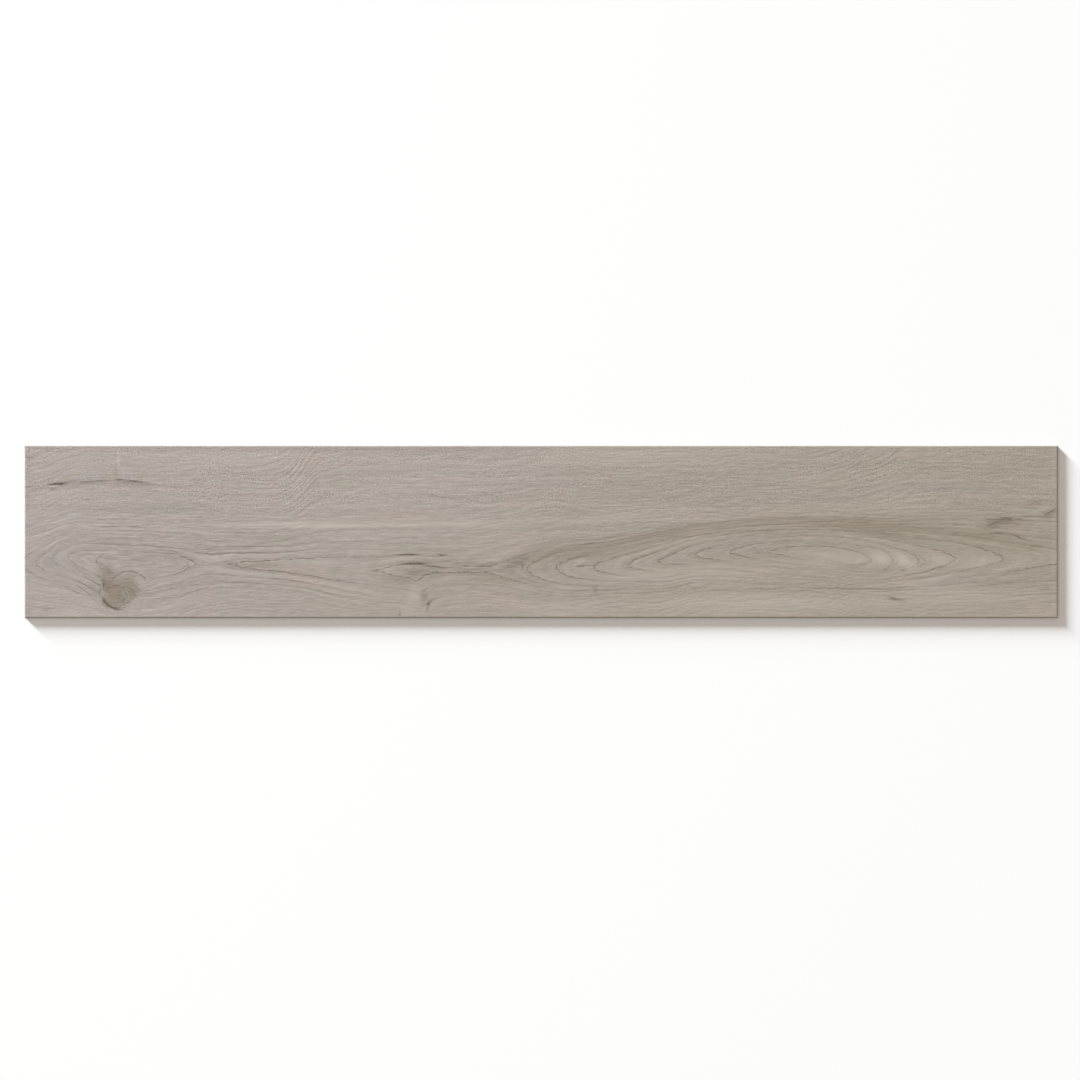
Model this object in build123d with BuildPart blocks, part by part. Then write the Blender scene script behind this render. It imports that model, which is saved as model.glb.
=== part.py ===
"""A square-edged vinyl floor plank, lying decor face up on a level floor.

The plank is one piece: its wear layer, print film, filled core and backing are pressed
into a single sheet and die-cut to size. It is glued down edge to edge, so its sides are
plain and upright, with no tongue, groove or glue strip. Round the decor face runs a
pressed micro-bevel, wider than it is deep, mitred at the four corners. The lower rim is
only eased where the cutting die leaves the backing.

X runs along the plank, Y across it and Z up. The origin is the middle of the backing.
"""

import os

from build123d import *

# Driving dimensions, in millimetres.
plank_length = 914.4  # the 36 in format
plank_width = 152.4  # the 6 in format
plank_thickness = 2.5  # overall, wear layer to backing
bevel_width = 0.8  # micro-bevel, measured in from the side
bevel_depth = 0.4  # micro-bevel, measured down the side
backing_ease = 0.15  # radius along the lower rim

with BuildPart() as plank:
    # The cut sheet: the outline that the die stamps out, at the plank's full thickness.
    with BuildSketch() as cut_outline:
        Rectangle(plank_length, plank_width)
    extrude(amount=plank_thickness)

    # The decor face's micro-bevel. Its sides are measured from the decor face, so that
    # the longer leg lies in the face and the shorter one runs down the side.
    decor_face = plank.faces().sort_by(Axis.Z)[-1]
    chamfer(decor_face.edges(), length=bevel_width, length2=bevel_depth, reference=decor_face)

    # The lower rim, eased by the die.
    backing_face = plank.faces().sort_by(Axis.Z)[0]
    fillet(backing_face.edges(), radius=backing_ease)

plank.part.label = "plank"

os.makedirs("parts", exist_ok=True)
export_step(plank.part, "parts/plank.step")

size = plank.part.bounding_box().size
print(f"plank {size.X:.1f} x {size.Y:.1f} x {size.Z:.2f} mm, {plank.part.volume / 1000:.1f} cm3")
flat_decor = plank.faces().sort_by(Axis.Z)[-1].bounding_box().size
print(f"flat decor face {flat_decor.X:.1f} x {flat_decor.Y:.1f} mm inside the bevel")
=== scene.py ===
# %% [markdown]
# # A printed vinyl floor plank
#
# The real plank is one pressed sheet: a clear wear layer over a printed film, on a filled
# vinyl core with a plain backing. Its shape is simple, so nearly all of its character is
# in the print, a grey-beige maple, and in the shallow emboss of the wear layer.
# The lesson goes from the room (camera, light, floor) to the growth rings and the plank's
# mesh, and then to the print. It is drawn by rules: one field of growth rings, and
# everything else follows it.

# %% Load the plank's frame
import math

import bpy
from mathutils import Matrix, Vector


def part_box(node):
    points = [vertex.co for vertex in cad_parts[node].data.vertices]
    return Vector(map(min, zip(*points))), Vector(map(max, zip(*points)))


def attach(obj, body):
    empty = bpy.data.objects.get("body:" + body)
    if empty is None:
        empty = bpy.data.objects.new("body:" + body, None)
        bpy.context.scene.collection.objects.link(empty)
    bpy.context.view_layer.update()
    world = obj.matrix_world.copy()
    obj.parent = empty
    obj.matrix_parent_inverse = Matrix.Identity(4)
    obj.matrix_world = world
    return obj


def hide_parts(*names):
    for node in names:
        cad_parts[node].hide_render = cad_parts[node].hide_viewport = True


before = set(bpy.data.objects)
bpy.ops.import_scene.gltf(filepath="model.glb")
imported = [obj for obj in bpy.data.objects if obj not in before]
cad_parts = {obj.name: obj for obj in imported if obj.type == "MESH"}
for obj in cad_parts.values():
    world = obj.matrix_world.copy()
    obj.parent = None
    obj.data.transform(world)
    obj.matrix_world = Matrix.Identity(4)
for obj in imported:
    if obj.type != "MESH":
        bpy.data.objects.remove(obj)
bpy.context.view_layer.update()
low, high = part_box("plank")
length = high[0] - low[0]
width = high[1] - low[1]
thickness = high[2] - low[2]
print(f"plank {length * 1000:.1f} x {width * 1000:.1f} x {thickness * 1000:.2f} mm")

# %% [markdown]
# ## Camera
#
# The plank is seen straight from above, as on a sample board. A long lens from over two
# metres up keeps the edges parallel. The frame's middle lies a little below and to the
# left of the plank's own middle, so the camera does too.

# %% Put the camera above the plank
mm = 0.001
lens = 85
sensor = 36
frame_width = 955.7 * mm
camera_shift_x = -0.9 * mm
camera_shift_y = -7.4 * mm

camera_data = bpy.data.cameras.new("camera_above")
camera_data.lens = lens
camera_data.sensor_width = sensor
camera = bpy.data.objects.new("camera_above", camera_data)
camera.location = (camera_shift_x, camera_shift_y, thickness + frame_width * lens / sensor)
bpy.context.scene.collection.objects.link(camera)
bpy.context.scene.camera = camera
bpy.context.scene.view_settings.view_transform = "Standard"
print(f"camera {camera.location.z:.3f} m above the floor")

# %% [markdown]
# ## A short hand for node trees
#
# The sky, the print and the mesh are all made by node trees, with much arithmetic in them.
# Nodes could be drawn by hand in the editor, but a rule is easier to read and to change as
# text. A small class keeps it short: each call adds one node, feeds its inputs in order,
# with a number or with another node's socket, and gives back the socket that it puts out.
# Math, noise and curve nodes are the same in materials and in Geometry Nodes, so one
# function can build the same rule for both.


# %% Wire nodes with short calls
class Wiring:
    """Adds nodes to one tree and wires them."""

    def __init__(self, tree):
        self.tree = tree

    def node(self, kind, *values, **settings):
        """One node, its settings by name and its inputs in order."""
        node = self.tree.nodes.new(kind)
        for name, value in settings.items():
            setattr(node, name, value)
        for socket, value in zip(node.inputs, values):
            self.feed(socket, value)
        return node

    def feed(self, socket, value):
        """Links a socket, or sets it to a number or colour."""
        if isinstance(value, bpy.types.NodeSocket):
            self.tree.links.new(value, socket)
        elif value is not None:
            socket.default_value = value

    def math(self, operation, *values):
        """One step of arithmetic."""
        return self.node("ShaderNodeMath", *values, operation=operation).outputs[0]

    def add(self, a, b):
        return self.math("ADD", a, b)

    def subtract(self, a, b):
        return self.math("SUBTRACT", a, b)

    def multiply(self, a, b):
        return self.math("MULTIPLY", a, b)

    def divide(self, a, b):
        return self.math("DIVIDE", a, b)

    def ramp(self, value, start, end, low=0.0, high=1.0):
        """A smooth step from low to high while the value goes from start to end."""
        limits = (start, end, low, high)
        node = self.node("ShaderNodeMapRange", value, *limits, interpolation_type="SMOOTHSTEP")
        return node.outputs[0]

    def vector(self, x, y, z=0.0):
        return self.node("ShaderNodeCombineXYZ", x, y, z).outputs[0]

    def noise(self, x, y, size_x, size_y, seed, detail=2.0):
        """Noise from 0 to 1 with patches of the given size, another pattern for each seed."""
        place = self.vector(self.divide(x, size_x), self.divide(y, size_y), seed)
        node = self.node("ShaderNodeTexNoise", place, None, 1.0, detail)
        return node.outputs[0]

    def mix(self, factor, a, b):
        """Goes from colour a to colour b."""
        node = self.tree.nodes.new("ShaderNodeMix")
        node.data_type = "RGBA"
        self.feed(node.inputs[0], factor)
        self.feed(node.inputs[6], a)
        self.feed(node.inputs[7], b)
        return node.outputs[2]

    def curve(self, value, points):
        """A smooth curve through a few points, each a place and a height."""
        places = [place for place, height in points]
        heights = [height for place, height in points]
        start, span = min(places), max(places) - min(places)
        foot, rise = min(heights), max(heights) - min(heights)
        along = self.divide(self.subtract(value, start), span)
        node = self.node("ShaderNodeFloatCurve", 1.0, along)
        line = node.mapping.curves[0]
        while len(line.points) < len(points):
            line.points.new(0.5, 0.5)
        for point, (place, height) in zip(line.points, points):
            point.location = ((place - start) / span, (height - foot) / rise)
            point.handle_type = "AUTO_CLAMPED"
        node.mapping.update()
        return self.add(self.multiply(node.outputs[0], rise), foot)


# %% Make and use node groups
def new_group(name, kind, inputs, outputs):
    """An empty node group with number sockets, its wiring, its inputs and its output node."""
    tree = bpy.data.node_groups.new(name, kind)
    for label in inputs:
        tree.interface.new_socket(label, in_out="INPUT", socket_type="NodeSocketFloat")
    for label in outputs:
        tree.interface.new_socket(label, in_out="OUTPUT", socket_type="NodeSocketFloat")
    wires = Wiring(tree)
    given = tree.nodes.new("NodeGroupInput").outputs
    result = tree.nodes.new("NodeGroupOutput").inputs
    return tree, wires, given, result


def use_group(wires, tree, *values):
    """One use of a group in another tree, fed in order. Gives back its outputs."""
    kind = "ShaderNodeGroup" if tree.bl_idname == "ShaderNodeTree" else "GeometryNodeGroup"
    node = wires.tree.nodes.new(kind)
    node.node_tree = tree
    for socket, value in zip(node.inputs, values):
        wires.feed(socket, value)
    return node.outputs


# %% [markdown]
# ## Light
#
# Flooring is photographed in flat, even light, so that the print shows its true colours.
# A big softbox alone would do that, but a sheet this thin would hardly cast a shadow. So a
# warm, even world gives the fill, and a low lamp at the upper left gives the rest. It is far
# enough away to be even too, casts the wide soft shadow along the right and lower sides, and
# rakes over the emboss. It is filtered, as by crossed polarisers, so that it leaves no glare
# on the face. A softbox high at the left gives the satin face a faint sheen.


# %% Hang the lamps
def add_lamp(kind, name, towards, colour):
    """A lamp that shines from a point towards the plank's middle."""
    data = bpy.data.lights.new(name, kind)
    data.color = colour
    lamp = bpy.data.objects.new(name, data)
    lamp.location = towards
    lamp.rotation_euler = lamp.location.to_track_quat("Z", "Y").to_euler()
    bpy.context.scene.collection.objects.link(lamp)
    return lamp


lamp_height = math.radians(7.5)
lamp_side = math.radians(135)
lamp_share = 0.63
lamp_spread = math.radians(11)
lamp_tint = (0.875, 0.941, 1.0)
flat_reach = math.cos(lamp_height)
lamp_x = flat_reach * math.cos(lamp_side)
lamp_y = flat_reach * math.sin(lamp_side)
low_lamp = add_lamp("SUN", "low_lamp", (lamp_x, lamp_y, math.sin(lamp_height)), lamp_tint)
low_lamp.data.energy = lamp_share * math.pi / math.sin(lamp_height)
low_lamp.data.angle = lamp_spread
low_lamp.visible_glossy = False
shadow_length = thickness / math.tan(lamp_height)
print(f"low lamp {low_lamp.data.energy:.2f}, shadow {shadow_length / mm:.1f} mm long")

softbox_power = 9.0
softbox_size = 1.3
softbox_place = (-1.5, 0.7, 2.4)
softbox_tint = (0.93, 0.965, 1.0)
softbox = add_lamp("AREA", "softbox", softbox_place, softbox_tint)
softbox.data.shape = "SQUARE"
softbox.data.size = softbox_size
softbox.data.energy = softbox_power
print(f"softbox {softbox_power:.0f} W, {softbox.location.length:.2f} m from the plank")

# %% Fill the world
world_strength = 0.40
world_tint = (1.0, 0.885, 0.77, 1)
backdrop_tint = (0.925, 0.925, 0.915, 1)

world = bpy.data.worlds.new("studio")
bpy.context.scene.world = world
world.use_nodes = True
world.node_tree.nodes.clear()
sky = Wiring(world.node_tree)
ray = sky.node("ShaderNodeLightPath").outputs
mirrored = sky.math("MAXIMUM", ray["Is Glossy Ray"], ray["Is Transmission Ray"])
seen = sky.math("MAXIMUM", ray["Is Camera Ray"], mirrored)
soft_sky = sky.node("ShaderNodeBackground", world_tint, world_strength).outputs[0]
backdrop = sky.node("ShaderNodeBackground", backdrop_tint).outputs[0]
picked = sky.node("ShaderNodeMixShader", seen, soft_sky, backdrop).outputs[0]
sky.node("ShaderNodeOutputWorld", picked)
print(f"world at {world_strength:.2f}, seen as a backdrop of {backdrop_tint[0]:.3f}")

# %% [markdown]
# ## Floor
#
# The floor is a plain white sheet, much wider than the view, so that low views still see it
# as far as the horizon. A curved studio sweep would do as well. The flat sheet is simpler,
# and the backdrop's shade, just under white, joins it at the horizon without a seam.

# %% Lay the floor
floor_size = 60.0
floor_gap = 0.05 * mm
bpy.ops.mesh.primitive_plane_add(size=floor_size, location=(0, 0, -floor_gap))
floor = bpy.context.object
floor.name = "floor"
floor_paint = bpy.data.materials.new("floor_paint")
floor_paint.use_nodes = True
floor_shader = floor_paint.node_tree.nodes["Principled BSDF"]
floor_shader.inputs["Base Color"].default_value = (0.97, 0.97, 0.97, 1)
floor_shader.inputs["Roughness"].default_value = 0.9
floor_shader.inputs["Specular IOR Level"].default_value = 0.1
floor.data.materials.append(floor_paint)
print(f"floor {floor_size:.0f} m wide, {floor_gap / mm:.2f} mm under the plank")

# %% [markdown]
# ## The growth rings
#
# A flat-sawn board cuts the tree's rings in nested arches, called cathedrals. They are the
# level lines of a hill: along the board's heart line the hill rises and falls, and on both
# sides it drops, slowly at first and then faster. Wherever the hill passes a whole number
# there is a ring line, so each tip of an arch is a place where the heart line's height
# passes one. That gives a rule that is easy to steer: a list of tips, the course of the
# heart line, and how wide the rings are. Knots are small steep hills on the same field, so
# the lines bend round them by themselves. All places are millimetres from the middle.

# %% Say where the arches have their tips
# Each point: its place along the plank and the hill's height there, in rings.
ring_tips = [
    (-462, -3.0), (-448.6, -2.0), (-434.0, -1.0), (-418.1, 0.0), (-393.8, 1.0), (-365, 1.14),
    (-330, 0.85), (-305.3, 0.0), (-290, -0.25), (-274.3, 0.0), (-231, 0.4), (-164, 0.85),
    (-141.6, 1.0), (-118, 1.33), (-92, 1.09), (-66, 1.07), (-48, 1.09), (-32, 1.4),
    (-12, 2.0), (14, 3.0), (47.3, 4.0), (78.5, 5.0), (104.9, 6.0), (137.2, 7.0), (167.2, 8.0),
    (200.9, 9.0), (250, 9.6), (292, 9.0), (312.4, 8.0), (334, 7.0), (364.6, 6.0),
    (408.8, 5.0), (462, 4.1),
]
# Each point: its place along the plank and the heart's place across it.
heart_line = [
    (-462, -27), (-436, -26), (-418, -23.5), (-394, -26), (-305, -28.7), (-231, -30.4),
    (-142, -34.7), (-16, -33.2), (47, -31.1), (105, -26), (201, -18.2), (250, -19.5),
    (325, -26), (380, -23), (462, -23),
]
print(f"{len(ring_tips)} points along the heart line")

# %% Say how wide the rings are
# Each point: its place along the plank and a ring's width there, in millimetres.
ring_width_above = [
    (-462, 9.5), (-345, 9.5), (-290, 15), (-235, 16), (-190, 25), (-160, 26), (-125, 20),
    (-10, 20), (40, 15.5), (120, 12.5), (211, 10), (290, 13), (365, 20), (462, 21),
]
ring_width_below = [
    (-462, 13), (-412, 11.5), (-370, 13), (-345, 16), (-310, 15), (-290, 15), (-231, 14),
    (-164, 19), (-30, 19), (47, 15), (105, 12.5), (200, 9.5), (292, 10), (365, 15), (462, 17),
]
# How round the tips are, and how much closer the rings lie further from the heart.
tip_radius = [
    (-462, 1.8), (-330, 1.8), (-231, 1.2), (-140, 1.3), (-20, 3.0), (20, 4.0), (60, 2.2),
    (150, 1.8), (235, 2.2), (300, 5.0), (462, 5.5),
]
crowding = [(-462, 0.028), (-345, 0.03), (-250, 0.07), (462, 0.072)]
crowding_end = 45.0
print(f"{len(ring_width_above)} widths above the heart, {len(ring_width_below)} below it")

# %% Say where knots bend the rings
# Each swell lifts the field: its place, its reach along and across, its height in rings.
ring_swells = [
    (-380.0, -43.0, 11.0, 11.0, 1.1),
    (-355.0, -48.0, 12.0, 10.0, 0.6),
    (-105.0, -66.0, 13.0, 12.0, 2.4),
    (-140.0, -60.0, 24.0, 11.0, 0.9),
    (-110.0, -43.5, 6.0, 5.0, 0.3),
]
# Each knot stands in the field like a post: its place, its radii and the height inside it.
ring_knots = [(-376.0, -56.0, 13.0, 10.5, 1.6)]
print(f"{len(ring_swells)} swells, {len(ring_knots)} knot")

# %% Build the field of rings
sway_height = 4.5
wobble_height = 1.3
slip_length = 7.0
jitter_rings = 0.2
post_steepness = 3.0


def squared_reach(w, x, y, centre_x, centre_y, radius_x, radius_y):
    """The squared distance from an oval's middle, 1 at its rim."""
    along = w.divide(w.subtract(x, centre_x), radius_x)
    across = w.divide(w.subtract(y, centre_y), radius_y)
    return w.math("MULTIPLY_ADD", along, along, w.multiply(across, across))


def build_ring_field(kind):
    """The height of the ring field at a place, for a material or for Geometry Nodes."""
    tree, w, given, result = new_group(f"ring_field_{kind}", kind, ["X", "Y"], ["Rings", "Drop"])
    x, y = given["X"], given["Y"]
    sway = w.subtract(w.noise(x, y, 110, 30, 3.1), 0.5)
    wobble = w.subtract(w.noise(x, y, 24, 9, 7.7), 0.5)
    y_bent = w.add(y, w.add(w.multiply(sway, sway_height), w.multiply(wobble, wobble_height)))
    slip = w.subtract(w.noise(x, y, 60, 12, 11.3), 0.5)
    x_bent = w.add(x, w.multiply(slip, slip_length))
    jitter = w.subtract(w.noise(x, y, 7, 2.2, 13.9, 1.0), 0.5)

    height = w.curve(x_bent, ring_tips)
    offset = w.subtract(y_bent, w.curve(x, heart_line))
    above = w.math("MAXIMUM", offset, 0.0)
    below = w.math("MAXIMUM", w.multiply(offset, -1.0), 0.0)
    radius = w.curve(x, tip_radius)
    crowded = w.curve(x, crowding)
    for side, widths in ((above, ring_width_above), (below, ring_width_below)):
        squared = w.math("MULTIPLY_ADD", side, side, w.multiply(radius, radius))
        rounded = w.subtract(w.math("SQRT", squared), radius)
        crowd = w.math("MULTIPLY_ADD", w.math("MINIMUM", side, crowding_end), crowded, 1.0)
        drop = w.divide(w.multiply(rounded, crowd), w.curve(x, widths))
        height = w.subtract(height, drop)
    w.feed(result["Drop"], w.subtract(w.curve(x, ring_tips), height))
    for swell_x, swell_y, reach_x, reach_y, rise in ring_swells:
        reach = squared_reach(w, x, y_bent, swell_x, swell_y, reach_x, reach_y)
        hill = w.math("EXPONENT", w.multiply(reach, -1.0))
        height = w.math("MULTIPLY_ADD", hill, rise, height)
    for knot_x, knot_y, radius_x, radius_y, knot_height in ring_knots:
        reach = squared_reach(w, x, y, knot_x, knot_y, radius_x, radius_y)
        post = w.divide(1.0, w.add(w.math("POWER", reach, post_steepness), 1.0))
        height = w.node("ShaderNodeMix", post, None, height, knot_height).outputs[0]
    height = w.math("MULTIPLY_ADD", jitter, jitter_rings, height)
    w.feed(result["Rings"], height)
    return tree


ring_field = build_ring_field("ShaderNodeTree")
ring_field_relief = build_ring_field("GeometryNodeTree")
print(f"ring field: {len(ring_field.nodes)} nodes, built for the print and for the relief")

# %% [markdown]
# ## The plank's mesh
#
# The real sheet is pressed against an embossed plate and then cut by a die. A cube with a
# bevel would give its outline, but not the emboss. So the sheet is made by rule in Geometry
# Nodes. A fine grid is the decor face, sunk by up to 0.08 mm where the press plate has its
# relief. Its outer edge is then extruded ring by ring: down the micro-bevel, down the side,
# and round the eased lower rim. The last ring is gathered to every fourth point and closed
# by a coarser grid, the backing, so that the fine mesh is only where it shows.

# %% Name the mesh's sizes
bevel_width = 0.8 * mm
bevel_depth = 0.4 * mm
backing_ease = 0.15 * mm
columns = 640
rows = 112
gather = 4
relief_depth = 0.08 * mm
# The relief fades out before the bevel, between these distances from the middle.
relief_fade_x = (452.0, 455.0)
relief_fade_y = (72.0, 74.5)
weld = 0.01 * mm
ease_steps = 3
crease_angle = math.radians(20)
# A face belongs to the side while its normal's upright share is below this.
side_limit = 0.6


def rim_profile():
    """The rings from the decor face's edge down to the backing: inset and height."""
    profile = [(bevel_width, thickness), (0.0, thickness - bevel_depth), (0.0, backing_ease)]
    for step in range(1, ease_steps + 1):
        turn = math.pi / 2 * step / ease_steps
        inset = backing_ease * (1 - math.cos(turn))
        profile.append((inset, backing_ease * (1 - math.sin(turn))))
    return profile


print(f"decor face in squares of {length / columns / mm:.2f} x {width / rows / mm:.2f} mm")

# %% [markdown]
# The tree takes the length, the width and the counts as named inputs, so that the same rule
# presses another format. Its relief asks the ring field for its streaks, so the emboss
# follows the rings of the print, as on a good plank.


# %% Build the plank's tree
def build_plank_tree(decor, cut_side, backing):
    """The Geometry Nodes tree that presses and cuts the plank."""
    tree = bpy.data.node_groups.new("pressed_plank", "GeometryNodeTree")
    tree.interface.new_socket("Geometry", in_out="INPUT", socket_type="NodeSocketGeometry")
    for label in ("Length", "Width", "Relief depth"):
        tree.interface.new_socket(label, in_out="INPUT", socket_type="NodeSocketFloat")
    for label in ("Columns", "Rows", "Gather"):
        tree.interface.new_socket(label, in_out="INPUT", socket_type="NodeSocketInt")
    tree.interface.new_socket("Geometry", in_out="OUTPUT", socket_type="NodeSocketGeometry")
    w = Wiring(tree)
    given = w.node("NodeGroupInput").outputs
    result = w.node("NodeGroupOutput").inputs
    profile = rim_profile()

    # The decor face, a grid inside the bevel.
    face_inset, face_height = profile[0]
    grid = w.node(
        "GeometryNodeMeshGrid",
        w.subtract(given["Length"], 2 * face_inset),
        w.subtract(given["Width"], 2 * face_inset),
        w.add(given["Columns"], 1),
        w.add(given["Rows"], 1),
    )

    # The relief sinks the face's inner points, by the ring field's own streaks.
    position = w.node("GeometryNodeInputPosition").outputs[0]
    split = w.node("ShaderNodeSeparateXYZ", position).outputs
    x_mm = w.multiply(split[0], 1000.0)
    y_mm = w.multiply(split[1], 1000.0)
    rings = use_group(w, ring_field_relief, x_mm, y_mm)["Rings"]
    ticks = w.ramp(w.noise(x_mm, rings, 26, 0.75, 21.0), 0.42, 0.62)
    waves = w.noise(x_mm, y_mm, 45, 14, 23.0)
    sunk = w.math("MULTIPLY_ADD", ticks, 0.6, w.multiply(waves, 0.4))
    for knot_x, knot_y, radius_x, radius_y, knot_height in ring_knots:
        reach = squared_reach(w, x_mm, y_mm, knot_x, knot_y, radius_x, radius_y)
        dish = w.math("EXPONENT", w.multiply(reach, -1.5))
        sunk = w.math("MINIMUM", w.math("MULTIPLY_ADD", dish, 0.4, sunk), 1.0)
    inner_x = w.ramp(w.math("ABSOLUTE", x_mm), *relief_fade_x, 1.0, 0.0)
    inner_y = w.ramp(w.math("ABSOLUTE", y_mm), *relief_fade_y, 1.0, 0.0)
    sunk = w.multiply(sunk, w.multiply(inner_x, inner_y))
    drop = w.subtract(face_height, w.multiply(sunk, given["Relief depth"]))
    pressed = w.vector(split[0], split[1], drop)
    mesh = w.node("GeometryNodeSetPosition", grid.outputs[0], None, pressed).outputs[0]

    # The rim, extruded ring by ring from the grid's boundary, where edges have one face.
    neighbours = w.node("GeometryNodeInputMeshEdgeNeighbors").outputs[0]
    rim = w.math("LESS_THAN", neighbours, 1.5)
    last_inset = face_inset
    for inset, height in profile[1:]:
        extrude = w.node("GeometryNodeExtrudeMesh", mesh, rim, None, 0.0, mode="EDGES")
        stretch_x = w.divide(
            w.subtract(given["Length"], 2 * inset), w.subtract(given["Length"], 2 * last_inset)
        )
        stretch_y = w.divide(
            w.subtract(given["Width"], 2 * inset), w.subtract(given["Width"], 2 * last_inset)
        )
        place = w.vector(w.multiply(split[0], stretch_x), w.multiply(split[1], stretch_y), height)
        rim = extrude.outputs["Top"]
        mesh = w.node("GeometryNodeSetPosition", extrude.outputs[0], rim, place).outputs[0]
        last_inset = inset

    # The last ring is gathered to every fourth point and closed by the backing's own grid.
    back_length = w.subtract(given["Length"], 2 * last_inset)
    back_width = w.subtract(given["Width"], 2 * last_inset)
    back_columns = w.divide(given["Columns"], given["Gather"])
    back_rows = w.divide(given["Rows"], given["Gather"])
    snapped = []
    for coordinate, size, count in (
        (split[0], back_length, back_columns),
        (split[1], back_width, back_rows),
    ):
        cell = w.divide(size, count)
        half = w.divide(size, 2.0)
        nearest = w.math("ROUND", w.divide(w.add(coordinate, half), cell))
        snapped.append(w.subtract(w.multiply(nearest, cell), half))
    gathered = w.node("GeometryNodeSetPosition", mesh, rim, w.vector(*snapped, 0.0)).outputs[0]
    back_grid = w.node(
        "GeometryNodeMeshGrid", back_length, back_width, w.add(back_columns, 1), w.add(back_rows, 1)
    )
    back_face = w.node("GeometryNodeFlipFaces", back_grid.outputs[0]).outputs[0]
    joined = w.node("GeometryNodeJoinGeometry")
    for part in (gathered, back_face):
        tree.links.new(part, joined.inputs[0])
    merged = w.node("GeometryNodeMergeByDistance", joined.outputs[0], True, weld).outputs[0]

    # Smooth over the relief, sharp along the bevel.
    edge_angle = w.node("GeometryNodeInputMeshEdgeAngle").outputs[0]
    gentle = w.math("LESS_THAN", edge_angle, crease_angle)
    smooth = w.node("GeometryNodeSetShadeSmooth", merged, gentle, True, domain="EDGE").outputs[0]
    normal = w.node("GeometryNodeInputNormal").outputs[0]
    facing = w.node("ShaderNodeSeparateXYZ", normal).outputs[2]
    real = w.node("GeometryNodeRealizeInstances", smooth).outputs[0]
    on_side = w.math("LESS_THAN", w.math("ABSOLUTE", facing), side_limit)
    on_back = w.math("LESS_THAN", facing, -side_limit)
    for chosen, material in ((None, decor), (on_side, cut_side), (on_back, backing)):
        real = w.node("GeometryNodeSetMaterial", real, chosen, material).outputs[0]
    w.feed(result["Geometry"], real)
    return tree


# %% [markdown]
# ## Ring lines
#
# On the real film each ring is a hair-thin dark line, with a soft shade on its outer side.
# A wave texture would draw such lines, but it can't follow the arches and knots. The ring
# field can. A ring line has to stay one printed hair wide, whether the rings lie close or wide apart,
# so the line's distance from a place is the ring height's distance from a whole number
# divided by the field's slope there. The slope comes from asking the field twice more, a
# little further along and a little further across.

# %% Draw the ring lines
line_half_width = 0.4
late_wood = 0.3
slope_step = 0.35
least_slope = 0.012
second_line_lag = 0.17


def build_ring_lines():
    """Masks for the thin ring lines, the soft late wood outside them and the pale wood inside."""
    outputs = ["Rings", "Line", "Shade", "Pale", "Drop"]
    tree, w, given, result = new_group("ring_lines", "ShaderNodeTree", ["X", "Y"], outputs)
    x, y = given["X"], given["Y"]
    here, drop = use_group(w, ring_field, x, y)
    along = use_group(w, ring_field, w.add(x, slope_step), y)[0]
    across = use_group(w, ring_field, x, w.add(y, slope_step))[0]
    slope_x = w.divide(w.subtract(along, here), slope_step)
    slope_y = w.divide(w.subtract(across, here), slope_step)
    slope = w.math("SQRT", w.math("MULTIPLY_ADD", slope_x, slope_x, w.multiply(slope_y, slope_y)))
    slope = w.math("MAXIMUM", slope, least_slope)

    ring = w.math("ROUND", here)
    past = w.subtract(here, ring)
    distance = w.divide(w.math("ABSOLUTE", past), slope)
    line = w.ramp(distance, line_half_width * 0.4, line_half_width * 1.7, 1.0, 0.0)
    lagged = w.add(here, second_line_lag)
    second = w.subtract(lagged, w.math("ROUND", lagged))
    second_distance = w.divide(w.math("ABSOLUTE", second), slope)
    second_line = w.ramp(second_distance, 0.1, 1.3, 0.22, 0.0)
    # No two rings are equally dark, and each one fades and returns along the board.
    own = w.noise(x, w.multiply(ring, 9.7), 60, 1.0, 31.0, 3.0)
    fleck = w.ramp(w.noise(x, y, 8.0, 2.0, 33.0, 2.0), 0.34, 0.6, 0.3, 1.0)
    near_tip = w.ramp(drop, 0.3, 1.5, 1.0, 0.0)
    strength = w.math("MAXIMUM", w.ramp(own, 0.38, 0.72, 0.06, 0.8), near_tip)
    strength = w.multiply(strength, fleck)
    w.feed(result["Line"], w.multiply(w.math("MAXIMUM", line, second_line), strength))
    late = w.ramp(w.math("FRACT", here), 1.0 - late_wood, 1.0)
    w.feed(result["Shade"], w.multiply(late, w.ramp(own, 0.35, 0.7, 0.2, 1.0)))
    pale_own = w.noise(x, w.multiply(ring, 5.3), 60, 1.0, 37.0, 2.0)
    pale = w.ramp(w.math("ABSOLUTE", w.subtract(w.math("FRACT", here), 0.3)), 0.05, 0.22, 1.0, 0.0)
    w.feed(result["Pale"], w.multiply(pale, w.ramp(pale_own, 0.5, 0.7)))
    w.feed(result["Rings"], here)
    w.feed(result["Drop"], drop)
    return tree


ring_lines = build_ring_lines()
print(f"ring lines: {len(ring_lines.nodes)} nodes")

# %% [markdown]
# ## Ovals, knots and arcs
#
# What makes a board itself are its single marks: a crack, a knot, a dash, a pale patch.
# They could be painted into an image, but then they would have one fixed sharpness. Here
# each is a soft oval, placed and slanted by a few numbers, so one small node group draws a
# wide cloud and a thin stroke alike. A knot needs two more figures: its own squeezed rings
# with a dark crescent, and an arc that closes over it.


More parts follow.
